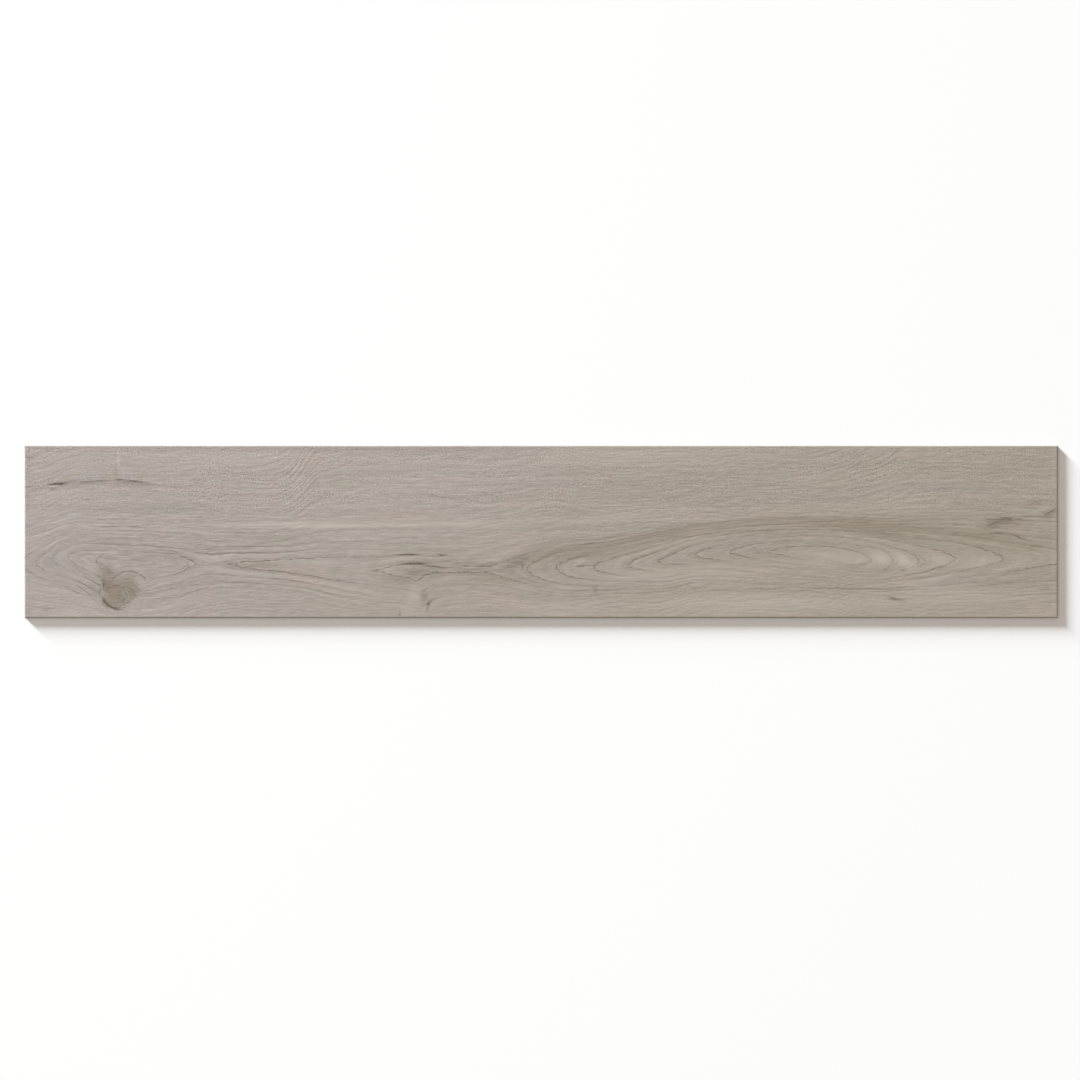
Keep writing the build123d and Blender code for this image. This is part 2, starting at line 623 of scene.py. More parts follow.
# %% Draw a soft oval
def build_soft_oval():
    """A mask that is 1 in the middle of a long slanted oval and 0 outside it."""
    inputs = ["X", "Y", "Centre X", "Centre Y", "Half length", "Half width", "Slope", "Softness"]
    tree, w, given, result = new_group("soft_oval", "ShaderNodeTree", inputs, ["Mask"])
    along = w.subtract(given["X"], given["Centre X"])
    across = w.subtract(w.subtract(given["Y"], given["Centre Y"]), w.multiply(along, given["Slope"]))
    u = w.divide(along, given["Half length"])
    v = w.divide(across, given["Half width"])
    reach = w.math("SQRT", w.math("MULTIPLY_ADD", u, u, w.multiply(v, v)))
    start = w.subtract(1.0, given["Softness"])
    w.feed(result["Mask"], w.ramp(reach, start, 1.0, 1.0, 0.0))
    return tree


soft_oval = build_soft_oval()
print(f"soft oval: {len(soft_oval.nodes)} nodes")


# %% Draw a knot's own figure
def build_knot_figure():
    """A knot's dark body, its scribbled rings and the dark crescent at its lower left."""
    inputs = ["X", "Y", "Centre X", "Centre Y", "Half length", "Half width", "Ring count"]
    outputs = ["Body", "Rings", "Crescent"]
    tree, w, given, result = new_group("knot_figure", "ShaderNodeTree", inputs, outputs)
    x, y = given["X"], given["Y"]
    bend = w.subtract(w.noise(x, y, 6.0, 5.0, 95.0, 2.0), 0.5)
    twist = w.subtract(w.noise(x, y, 6.0, 5.0, 97.0, 2.0), 0.5)
    along = w.math("MULTIPLY_ADD", bend, 7.0, w.subtract(x, given["Centre X"]))
    across = w.math("MULTIPLY_ADD", twist, 6.0, w.subtract(y, given["Centre Y"]))
    u = w.divide(along, given["Half length"])
    v = w.divide(across, given["Half width"])
    reach = w.math("SQRT", w.math("MULTIPLY_ADD", u, u, w.multiply(v, v)))
    w.feed(result["Body"], w.ramp(reach, 0.1, 1.4, 1.0, 0.0))
    turn = w.math("FRACT", w.multiply(reach, given["Ring count"]))
    ring = w.ramp(w.math("ABSOLUTE", w.subtract(turn, 0.5)), 0.05, 0.25, 1.0, 0.0)
    broken = w.ramp(w.noise(x, y, 3.0, 2.2, 99.0), 0.42, 0.56)
    fading = w.multiply(w.ramp(reach, 0.7, 1.05, 1.0, 0.0), w.ramp(u, -0.5, 0.5, 0.3, 1.0))
    w.feed(result["Rings"], w.multiply(w.multiply(ring, broken), fading))
    low_left = w.ramp(w.math("MULTIPLY_ADD", u, -0.6, w.multiply(v, -0.8)), 0.35, 0.9)
    band = w.ramp(w.math("ABSOLUTE", w.subtract(reach, 0.9)), 0.02, 0.14, 1.0, 0.0)
    w.feed(result["Crescent"], w.multiply(low_left, band))
    return tree


knot_figure = build_knot_figure()
print(f"knot figure: {len(knot_figure.nodes)} nodes")


# %% Draw an arc that closes over a knot
def build_soft_arc():
    """A thin line along the upper part of an oval."""
    inputs = ["X", "Y", "Centre X", "Centre Y", "Half length", "Half width"]
    tree, w, given, result = new_group("soft_arc", "ShaderNodeTree", inputs, ["Mask"])
    u = w.divide(w.subtract(given["X"], given["Centre X"]), given["Half length"])
    v = w.divide(w.subtract(given["Y"], given["Centre Y"]), given["Half width"])
    reach = w.math("SQRT", w.math("MULTIPLY_ADD", u, u, w.multiply(v, v)))
    off_line = w.multiply(w.math("ABSOLUTE", w.subtract(reach, 1.0)), given["Half width"])
    w.feed(result["Mask"], w.multiply(w.ramp(off_line, 0.25, 1.0, 1.0, 0.0), w.ramp(v, 0.1, 0.6)))
    return tree


soft_arc = build_soft_arc()
print(f"soft arc: {len(soft_arc.nodes)} nodes")

# %% [markdown]
# ## Fibres
#
# Wood has fibres at every width, from broad streaks to hairs. The small specks are no wood:
# they stand for the emboss's glints and pits, painted into the print as painted glints and
# painted shade, and they also make its pores. All of them are noise, stretched along the
# board, and only the patch size differs. Where the board is figured, the streaks read the
# ring field in place of the width, so that they run with the rings.


# %% Draw the fibres
def build_fibres():
    """Streaks along the rings and along the board, hairs, mottling and specks."""
    broad_outputs = ["Ring streaks", "Plain streaks", "Mottle", "Patches"]
    fine_outputs = ["Hairs", "Specks", "Brush", "Tint"]
    outputs = broad_outputs + fine_outputs
    tree, w, given, result = new_group("fibres", "ShaderNodeTree", ["X", "Y", "Rings"], outputs)
    x, y, rings = given["X"], given["Y"], given["Rings"]
    broad = w.noise(x, rings, 260, 1.3, 41.0, 3.0)
    close = w.noise(x, rings, 70, 0.3, 43.0, 2.0)
    w.feed(result["Ring streaks"], w.math("MULTIPLY_ADD", broad, 0.5, w.multiply(close, 0.5)))
    plain_broad = w.noise(x, y, 240, 7.0, 44.0, 3.0)
    plain_close = w.noise(x, y, 60, 1.7, 45.0, 2.0)
    plain_streaks = w.math("MULTIPLY_ADD", plain_broad, 0.5, w.multiply(plain_close, 0.5))
    w.feed(result["Plain streaks"], plain_streaks)
    w.feed(result["Hairs"], w.noise(x, y, 11.0, 0.95, 47.0, 2.0))
    w.feed(result["Mottle"], w.noise(x, y, 95, 26, 53.0, 3.0))
    # Specks: the painted glints and painted pit shade of the emboss, its pores, and the dots that break
    # fine strokes.
    w.feed(result["Specks"], w.noise(x, y, 1.3, 1.0, 59.0, 1.0))
    w.feed(result["Patches"], w.noise(x, y, 34, 12, 61.0, 3.0))
    w.feed(result["Brush"], w.noise(x, rings, 50, 0.14, 63.0, 2.0))
    w.feed(result["Tint"], w.noise(x, y, 11, 5, 67.0, 2.0))
    return tree


fibres = build_fibres()
print(f"fibres: {len(fibres.nodes)} nodes")

# %% [markdown]
# ## Emboss
#
# Press plates, rollers and the cutting die leave a fine grain on every side of the vinyl,
# far finer than the mesh. It is the same kind of grain on all of them, so one group makes
# it, and each material gives it its own length and width.


# %% Emboss any vinyl surface
def build_emboss():
    """The fine press texture of rolled vinyl, a height from 0 to 1."""
    inputs = ["X", "Y", "Grain length", "Grain width"]
    tree, w, given, result = new_group("vinyl_emboss", "ShaderNodeTree", inputs, ["Height"])
    x, y = given["X"], given["Y"]
    pits = w.noise(x, y, given["Grain length"], given["Grain width"], 71.0, 2.0)
    dust = w.noise(x, y, 0.5, 0.5, 73.0, 1.0)
    w.feed(result["Height"], w.math("MULTIPLY_ADD", pits, 0.8, w.multiply(dust, 0.2)))
    return tree


vinyl_emboss = build_emboss()
print(f"vinyl emboss: {len(vinyl_emboss.nodes)} nodes")


# %% Start a material and press its relief
def new_material(name):
    """An empty material, its wiring, its shader and the place in millimetres."""
    material = bpy.data.materials.new(name)
    material.use_nodes = True
    w = Wiring(material.node_tree)
    shader = material.node_tree.nodes["Principled BSDF"]
    coordinates = w.node("ShaderNodeTexCoord").outputs["Object"]
    split = w.node("ShaderNodeSeparateXYZ", coordinates).outputs
    place = [w.multiply(axis, 1000.0) for axis in split]
    return material, w, shader, place


def press_relief(w, shader, height, strength, depth):
    """Relief too fine for the mesh, as a bump of the given depth."""
    bump = w.node("ShaderNodeBump")
    bump.inputs["Strength"].default_value = strength
    bump.inputs["Distance"].default_value = depth
    w.feed(bump.inputs["Height"], height)
    w.feed(shader.inputs["Normal"], bump.outputs[0])


# %% [markdown]
# ## Inks
#
# The film is printed with a few greys and browns, and every tone on it is a mixture of
# them. They are named once, written in the screen values that a painter would choose them
# by, and turned into the linear values that nodes use.


# %% Choose the inks
def ink(red, green, blue):
    """A colour in screen values from 0 to 255, as the linear colour that nodes use."""
    shares = (value / 255 for value in (red, green, blue))
    linear = [s / 12.92 if s <= 0.04045 else ((s + 0.055) / 1.055) ** 2.4 for s in shares]
    return (*linear, 1.0)


# The cool ground is partly the print's own cool grey and partly a painted sheen: lighter and bluer, as
# glare from a lamp at the left makes it.
cool_ground_and_sheen = ink(167, 158, 151)
warm_ground = ink(159, 149, 136)
pink_ground = ink(170, 155, 146)
green_ground = ink(158, 151, 138)
ring_ink = ink(106, 95, 82)
shade_ink = ink(134, 122, 107)
pale_ink = ink(190, 181, 170)
dark_ink = ink(78, 67, 54)
knot_ink = ink(122, 109, 91)
core_ink = ink(164, 147, 132)
grey_ink = ink(144, 137, 130)
stain_ink = ink(150, 139, 119)
# A light bluish grey for the left end: partly the print's cool tint, partly a painted sheen.
cool_sheen_ink = ink(171, 162, 160)
for name, ground in (("cool", cool_ground_and_sheen), ("warm", warm_ground)):
    print(f"{name} ground:", [round(share, 3) for share in ground[:3]])


# %% [markdown]
# ## Marks
#
# This board is known by its marks: a crack with a pale core and a knot at its left end, a
# lens and an eye in the middle, nested arches with bright patches, and a smudge at its
# right end. They are laid down in the order of the list, so that a stroke listed after a
# shade lies on top of it. All places are millimetres from the plank's middle.

# %% List the marks of the plain upper zone
# Each mark: its name, centre, half length and half width, slope, softness, ink and strength.
marks = [
    # The left end lighter and bluer: partly the print's cool tint, partly a painted sheen of glare from
    # a lamp at the left.
    ("left_cool_sheen", -380, 50, 110, 36, 0.0, 1.0, cool_sheen_ink, 0.5),
    ("left_cool_sheen_foot", -430, -20, 60, 60, 0.0, 1.0, cool_sheen_ink, 0.45),
    ("left_cool_sheen_band", -440, 12, 90, 14, 0.0, 1.0, cool_sheen_ink, 0.4),
    ("upper_middle_pale", 80, 66, 190, 14, 0.0, 1.0, pale_ink, 0.4),
    ("left_grey_band", -372, 21, 100, 8, 0.03, 1.0, grey_ink, 0.5),
    ("left_pale_patch", -426, 33, 34, 7, 0.02, 1.0, pale_ink, 0.4),
    ("corner_pale", -420, 60, 60, 12, 0.0, 1.0, pale_ink, 0.25),
    ("upper_pale", -280, 64, 110, 14, 0.0, 1.0, pale_ink, 0.4),
    ("upper_grey_band", 60, 44, 190, 6, 0.01, 1.0, grey_ink, 0.35),
    ("speck_grey_band", 250, 30, 60, 5, 0.0, 1.0, grey_ink, 0.4),
    ("right_grey_band", 350, 38, 130, 10, -0.01, 1.0, grey_ink, 0.45),
    ("stain_left", -418, 47, 7, 4, 0.0, 1.0, stain_ink, 0.5),
    ("stain_middle", -383, 48, 12, 5, 0.0, 1.0, stain_ink, 0.5),
    ("stain_right", -353, 50, 10, 5, 0.0, 1.0, stain_ink, 0.5),
    ("crack_shade", -424, 42, 26, 6, 0.04, 1.0, ring_ink, 0.4),
    ("crack_foot", -431, 37.5, 9, 2.4, 0.0, 1.0, knot_ink, 0.6),
    ("crack_brow", -422, 47, 8, 3.5, 0.0, 1.0, stain_ink, 0.5),
    ("crack_slit", -428, 42.3, 12, 1.6, 0.08, 0.7, dark_ink, 1.0),
    ("crack_core", -432, 40.0, 8, 0.9, 0.06, 0.6, pale_ink, 1.0),
    ("crack_left", -452, 40.0, 14, 1.2, 0.0, 1.0, ring_ink, 0.6),
    ("crack_tail", -395, 44.6, 29, 1.0, 0.04, 0.9, dark_ink, 0.75),
    ("crack_knuckle", -373, 46.0, 8, 1.6, 0.0, 0.9, dark_ink, 0.85),
    ("crack_end", -360, 44.6, 13, 1.5, -0.12, 0.9, dark_ink, 0.85),
    ("crack_splinter", -402, 42.8, 10, 0.8, 0.1, 0.9, ring_ink, 0.6),
    ("crack_last", -347, 42.8, 9, 0.9, -0.2, 0.9, dark_ink, 0.55),
    ("crack_haze", -362, 43, 26, 5.5, -0.06, 1.0, ring_ink, 0.5),
    ("crack_cloud", -395, 44, 34, 4, 0.03, 1.0, ring_ink, 0.4),
    ("left_edge_dash", -453, 65.5, 8, 1.4, 0.0, 1.0, ring_ink, 0.6),
    ("light_streak", -374, 64, 2.2, 18, 0.0, 1.0, pale_ink, 0.75),
    ("light_streak_foot", -369.5, 51, 1.6, 9, 0.0, 1.0, pale_ink, 0.5),
    ("streak_stain", -376, 53, 4, 7, 0.0, 1.0, shade_ink, 0.6),
]
print(f"{len(marks)} marks in the upper zone")

# %% List the marks of the left figure and its knot
marks += [
    ("left_heart_grey", -352, -21, 44, 11, -0.05, 1.0, grey_ink, 0.45),
    ("left_column_grey", -432, -30, 36, 22, 0.0, 1.0, grey_ink, 0.3),
    ("tip_inside", -383, -24, 12, 7, 0.0, 1.0, grey_ink, 0.6),
    ("tip_pale_two", -424, -20, 9, 6, 0.3, 1.0, pale_ink, 0.3),
    ("bottom_pale", -415, -72, 28, 8, 0.0, 1.0, pale_ink, 0.4),
    ("knot_right_pale", -337, -46, 12, 8, 0.3, 1.0, pale_ink, 0.3),
    ("knot_shade", -373, -54, 23, 19, 0.1, 1.0, knot_ink, 0.55),
    ("knot_stain", -382, -44, 14, 17, -0.4, 1.0, knot_ink, 0.95),
    ("tip_stain", -386, -33, 13, 10, 0.0, 1.0, knot_ink, 0.5),
    ("halo_shade", -364, -44, 16, 11, 0.0, 1.0, knot_ink, 0.7),
    ("knot_left", -386, -48, 5, 9, -0.5, 1.0, knot_ink, 0.75),
    ("knot_shoulder", -384, -48, 8, 9, -0.4, 1.0, dark_ink, 0.25),
    ("knot_foot", -381, -64, 12, 7, -0.4, 1.0, knot_ink, 0.6),
    ("fan_stroke_high", -402, -38, 15, 0.8, -0.5, 0.8, ring_ink, 0.5),
    ("fan_stroke_far", -424, -48, 15, 0.8, -0.2, 0.8, ring_ink, 0.45),
    ("fan_shade", -395, -52, 10, 9, -0.5, 1.0, ring_ink, 0.35),
    ("fan_stroke_top", -396, -44.5, 10, 0.8, -0.6, 0.8, ring_ink, 0.7),
    ("fan_stroke", -404, -47, 13, 0.9, -0.55, 0.8, ring_ink, 0.75),
    ("fan_stroke_low", -403, -53, 11, 0.9, -0.7, 0.8, ring_ink, 0.7),
    ("fan_stroke_foot", -413, -53, 11, 0.8, -0.4, 0.8, ring_ink, 0.5),
    ("fan_stroke_last", -396, -60, 7, 0.8, -0.8, 0.8, ring_ink, 0.5),
    ("tip_roof", -389.5, -21.2, 4.5, 0.9, 0.65, 0.8, ring_ink, 0.75),
    ("tip_back", -393.6, -26.2, 0.9, 4, 0.0, 0.8, ring_ink, 0.8),
    ("tip_leg", -389.6, -32, 4.5, 0.9, -0.95, 0.8, ring_ink, 0.65),
    ("left_pale_arc", -430, 8.3, 26, 1.0, 0.11, 0.8, pale_ink, 0.6),
    ("left_pale_arc_end", -384, 12.2, 30, 1.0, 0.05, 0.8, pale_ink, 0.45),
    ("knot_stroke", -387, -46, 0.8, 5, 0.0, 0.7, dark_ink, 0.6),
    ("knot_stroke_low", -391, -54, 0.8, 5, 0.0, 0.8, ring_ink, 0.6),
    ("knot_haze", -360, -53, 7, 9, 0.2, 1.0, knot_ink, 0.5),
    ("knot_pale_side", -355, -44, 9, 7, 0.0, 1.0, pale_ink, 0.35),
    ("knot_core", -377, -53, 8, 6, 0.2, 0.9, core_ink, 0.75),
    ("knot_lip", -376, -48, 6.5, 1.1, -0.1, 0.9, ring_ink, 0.85),
    ("knot_lip_end", -382, -50, 4, 1.0, 0.5, 0.9, ring_ink, 0.7),
    ("knot_root", -386, -60, 4, 1.1, 0.3, 0.9, dark_ink, 0.6),
    ("knot_scribble", -364, -50, 6, 1.1, -0.7, 0.9, dark_ink, 0.7),
    ("knot_scribble_low", -361, -54.5, 5, 1.0, -1.0, 0.9, dark_ink, 0.65),
    ("knot_scribble_right", -357, -50, 5, 1.0, -0.9, 0.9, ring_ink, 0.8),
    ("knot_outer_stroke", -386, -66.5, 5, 0.9, -0.9, 0.9, ring_ink, 0.7),
]
print(f"{len(marks)} marks with the left figure")

# %% List the marks of the middle lens and the eye
marks += [
    ("pale_band", -190, 6.0, 170, 4.6, 0.0, 0.9, pale_ink, 0.75),
    ("pale_band_end", -60, 6.0, 70, 5.5, 0.0, 1.0, pale_ink, 0.4),
    ("long_line", -268, -18.9, 54, 0.9, 0.0, 0.8, ring_ink, 0.75),
    ("long_line_end", -330, -17.0, 16, 0.8, -0.08, 0.8, ring_ink, 0.5),
    ("lens_pale", -195, -28, 40, 5, 0.03, 1.0, pale_ink, 0.35),
    ("lens_left", -250, -30, 40, 5, 0.0, 1.0, shade_ink, 0.6),
    ("lens_loop", -272, -31, 5, 2.4, 0.0, 0.8, shade_ink, 0.4),
    ("eye_shade", -108, -36, 36, 9, 0.0, 1.0, ring_ink, 0.6),
    ("eye_roof", -95, -26, 50, 4, 0.0, 1.0, ring_ink, 0.25),
    ("eye_lid", -108, -27.6, 22, 2.2, 0.0, 1.0, ring_ink, 0.6),
    ("eye_foot", -125, -44, 30, 7, -0.15, 1.0, shade_ink, 0.65),
    ("eye_line", -112, -28.6, 16, 1.5, 0.0, 0.8, dark_ink, 0.9),
    ("eye_bridge", -90, -31.5, 9, 1.2, -0.2, 0.9, dark_ink, 0.7),
    ("channel_shade", -52, -34, 60, 8, 0.0, 1.0, ring_ink, 0.46),
    ("channel_roof", -66, -27.5, 26, 3.0, 0.0, 1.0, ring_ink, 0.35),
    ("channel_pale", -60, -31.6, 30, 0.9, 0.0, 1.0, pale_ink, 0.6),
    ("channel_foot", -40, -43, 50, 7, 0.0, 1.0, shade_ink, 0.6),
    ("knot_pale", -112, -56, 10, 14, 0.0, 0.9, pale_ink, 0.5),
    ("knot_smear", -103.5, -57, 5.5, 9, 0.0, 0.9, ring_ink, 0.42),
    ("low_pale", -119, -70, 9, 8, 0.0, 0.9, pale_ink, 0.3),
    ("small_knot", -99.5, -64, 3.2, 4.2, 0.5, 1.0, dark_ink, 0.95),
    ("small_knot_head", -97, -60.5, 5, 2.4, 0.1, 1.0, ring_ink, 0.6),
    ("small_knot_foot", -100.5, -68.5, 2.4, 3, 0.4, 1.0, ring_ink, 0.5),
    ("left_speck", -125, -73, 1.8, 4.5, -0.4, 0.9, ring_ink, 0.7),
    ("dash_one", -119, -20.2, 16, 1.1, 0.0, 0.7, dark_ink, 0.95),
    ("dash_two", -87, -20.6, 7, 1.0, 0.0, 0.7, dark_ink, 0.9),
]
print(f"{len(marks)} marks with the lens and the eye")

# %% List the marks of the large arches
marks += [
    ("dark_wedge", 8, -20, 46, 9, 0.16, 1.0, shade_ink, 0.6),
    ("wedge_tip", -22, -27.5, 20, 7, 0.25, 1.0, ring_ink, 0.75),
    ("wedge_root", -46, -29, 20, 3, 0.1, 1.0, ring_ink, 0.35),
    ("tip_shade", -2, -32, 14, 8, 0.0, 1.0, shade_ink, 0.55),
    ("tip_hook", -16.5, -31, 1.2, 4.5, 0.0, 0.8, ring_ink, 0.6),
    ("arch_foot", -9, -45, 22, 6, -0.15, 1.0, shade_ink, 0.4),
    ("low_right_pale", 190, -63, 180, 15, 0.0, 1.0, pale_ink, 0.55),
    ("belly_pale", 130, -38, 130, 12, 0.06, 1.0, pale_ink, 0.3),
    ("heart_pale", 270, -24, 90, 12, 0.0, 1.0, pale_ink, 0.4),
    ("right_tips_pale", 385, -27, 60, 10, 0.0, 1.0, pale_ink, 0.4),
    ("low_end_pale", 360, -55, 110, 22, 0.0, 1.0, pale_ink, 0.4),
    ("low_middle_pale", 20, -68, 60, 10, 0.0, 1.0, pale_ink, 0.35),
    ("above_band_pale", 70, 14, 110, 8, 0.05, 1.0, pale_ink, 0.2),
    ("above_band_right", 290, 22, 90, 7, 0.0, 1.0, pale_ink, 0.2),
    ("dash_pale", 34, -26, 8, 3, 0.1, 1.0, pale_ink, 0.6),
    ("dash_three", 35, -30.5, 6, 1.1, 0.1, 0.7, dark_ink, 0.75),
    ("dash_tail", 44, -30.0, 9, 0.7, 0.02, 0.9, ring_ink, 0.6),
    ("low_blotch", 48, -51, 4, 6, 0.0, 1.0, ring_ink, 0.4),
    ("dark_band", 290, 4, 110, 10, -0.05, 1.0, shade_ink, 0.6),
    ("band_cloud", 285, 10, 19, 7, 0.1, 1.0, shade_ink, 0.75),
    ("band_core", 305, -3, 60, 5, -0.1, 1.0, ring_ink, 0.35),
    ("band_tail", 400, -4, 75, 10, -0.04, 1.0, shade_ink, 0.65),
    ("band_tail_low", 430, -15, 40, 7, -0.05, 1.0, shade_ink, 0.4),
    ("band_middle", 215, -2, 70, 6, 0.0, 1.0, shade_ink, 0.4),
    ("bright_patch", 322, -26, 15, 10, -0.4, 1.0, pale_ink, 0.95),
    ("bright_hook", 301, -23, 14, 10, -0.3, 1.0, pale_ink, 0.8),
    ("bright_wake", 352, -24, 16, 7, -0.2, 1.0, pale_ink, 0.4),
    ("end_haze", 412, 8, 34, 8, 0.0, 1.0, shade_ink, 0.6),
    ("end_smudge", 407, 10, 22, 5.5, 0.02, 1.0, ring_ink, 0.8),
    ("end_smudge_core", 411.5, 11.4, 10, 2.1, 0.0, 0.8, dark_ink, 0.55),
    ("end_smudge_left", 397, 11.2, 7, 1.6, 0.1, 0.9, dark_ink, 0.4),
    ("end_smudge_low", 399, 6.5, 8, 1.6, 0.2, 0.9, ring_ink, 0.7),
    ("end_smudge_foot", 396, 4, 14, 5, 0.2, 1.0, ring_ink, 0.4),
    ("end_dash", 423.5, 10.9, 6, 1.1, -0.1, 0.8, dark_ink, 0.7),
    ("end_dash_far", 429, 13.4, 8, 0.9, 0.06, 0.8, dark_ink, 0.6),
    ("end_smudge_tail", 440, 13.6, 14, 0.7, 0.0, 1.0, ring_ink, 0.6),
    ("corner_smudge", 452, 17, 14, 7, 0.3, 1.0, ring_ink, 0.5),
    ("corner_stroke", 451, 17.5, 8, 1.1, 0.5, 0.8, dark_ink, 0.65),
    ("corner_stroke_low", 448, 14.5, 7, 1.0, 0.1, 0.8, ring_ink, 0.6),
    ("corner_shade", 440, 26, 24, 7, 0.2, 1.0, shade_ink, 0.5),
    ("end_arc_left", 404, -1.5, 14, 1.0, 0.06, 0.9, ring_ink, 0.95),
    ("end_arc_right", 424, -5.5, 15, 1.0, -0.33, 0.9, ring_ink, 0.95),
    ("low_line", 275, -50.5, 95, 0.9, -0.015, 0.9, ring_ink, 0.6),
    ("low_scratches", 395, -46, 75, 6, 0.02, 1.0, ring_ink, 0.4),
    ("right_speck", 313.5, -59.7, 12, 2.8, -0.22, 0.9, ring_ink, 0.85),
]
print(f"{len(marks)} marks, from {marks[0][0]} to {marks[-1][0]}")

# %% List the knots and arcs
# Each knot: its centre, half length and half width, and how many rings it has.
knots = [(-374.0, -57.0, 14.5, 12.5, 6.6)]
# Each arc: its centre, half length and half width.
arcs = [(-364.5, -48.0, 16.0, 13.0)]
print(f"{len(knots)} knot, {len(arcs)} arc")

# %% [markdown]
# ## The lined zone
#
# Ring lines don't cover the whole board. Above the arches the wood is plain, along the
# lower edge they fade, and inside the figure they come and go. So the lined zone has an
# upper edge that follows the figure, and a list of soft ovals quiets or strengthens it.

# %% List the quiet places
# Each point: its place along the plank and the upper edge of the lined zone there.
lined_top = [
    (-462, 7), (-400, 14), (-345, 13), (-300, 5), (-231, 2), (-125, -5), (-27, -17), (34, -8),
    (79, 0), (141, 6), (185, 10), (229, 13), (462, 14),
]
# The places where the ring lines fade, or gain where the strength is negative: name, centre,
# half length and half width, slope and strength.
quiet_places = [
    ("left_heart", -345, -27, 34, 9, 0.0, 0.9),
    ("main_lower_half", 190, -45, 190, 20, 0.03, 0.7),
    ("right_lower_half", 400, -48, 90, 18, 0.0, 0.6),
    ("main_heart", 245, -24, 45, 8, 0.0, 0.4),
    ("arch_bellies", 130, -33, 110, 7, 0.08, 0.7),
    ("knot_inside", -373, -55, 21, 18, 0.0, 1.6),
    ("fourth_tip", -384, -27, 30, 9, 0.0, 2.6),
    ("arches", 250, -25, 230, 42, 0.0, 0.35),
    ("left_rim", -430, 8, 45, 8, 0.12, 0.9),
    ("left_tips", -425, -25, 55, 30, 0.0, -0.5),
    ("above_lens", -213, -9, 90, 8, 0.0, 0.6),
    ("arch_shoulders", 100, -13, 120, 8, 0.1, 0.5),
    ("heart_foot", -362, -35, 27, 9, 0.0, 2.0),
    ("upper_middle", -120, -4, 130, 9, 0.0, 0.5),
    ("lens_below", -225, -54, 75, 11, -0.03, 0.65),
    ("knot_fan", -402, -45, 28, 22, -0.4, -0.9),
    ("below_fan", -420, -68, 50, 14, -0.1, 0.9),
    ("below_knot", -350, -70, 60, 12, 0.0, 0.7),
    ("upper_left", -400, 0, 90, 16, 0.0, 0.35),
    ("eye_fan", -148, -47, 32, 9, -0.2, -1.2),
    ("eye_right", -60, -46, 50, 6, 0.0, -1.0),
    ("middle_lower_edge", -60, -66, 190, 12, 0.0, 0.6),
]
print(f"{len(quiet_places)} quiet places")


# %% Mask the lined zone
def lined_zone(w, x, y):
    """How far a place lies under the zone's upper edge, and how strongly it is lined."""
    under_top = w.ramp(w.subtract(w.curve(x, lined_top), y), -2.0, 3.0)
    over_bottom = w.ramp(y, -66.0, -50.0)
    lined = w.multiply(under_top, over_bottom)
    for label, centre_x, centre_y, half_length, half_width, slope, strength in quiet_places:
        place = (x, y, centre_x, centre_y, half_length, half_width, slope, 1.0)
        oval = use_group(w, soft_oval, *place)[0]
        lined = w.multiply(lined, w.math("MULTIPLY_ADD", oval, -strength, 1.0))
    return under_top, lined


# %% [markdown]
# ## The ground and its fibres
#
# The print is laid down as a printer would, from the lightest ink to the darkest. The
# ground goes from a cool grey at the left to a warmer one at the right. That is partly the
# print's own drift and partly a painted sheen: the pale bluish glare of a lamp at the left,
# painted into the colour. Pink and green casts drift over it, as on real maple. Streaks
# and fibres change only how dark the ground is, so they go in as one brightness, which
# keeps its hue.


# %% Mix the ground
def mix_ground(w, x, y, strands):
    """The ground colour, cool to warm along the board, its cool left end partly a painted sheen, with a
    slow pink and green cast.
    """
    mottle = strands["Mottle"]
    slanted = w.math("MULTIPLY_ADD", y, -2.0, x)
    along = w.math("MULTIPLY_ADD", w.subtract(mottle, 0.5), 450.0, slanted)
    # Cool at the left, warm at the right: partly the print's drift, partly a painted sheen of glare from
    # a lamp at the left.
    colour = w.mix(w.ramp(along, -430.0, 430.0), cool_ground_and_sheen, warm_ground)
    cast = w.math("MULTIPLY_ADD", mottle, 0.6, w.multiply(strands["Tint"], 0.4))
    colour = w.mix(w.ramp(cast, 0.5, 0.64, 0.0, 0.6), colour, pink_ground)
    return w.mix(w.ramp(cast, 0.36, 0.5, 0.6, 0.0), colour, green_ground)


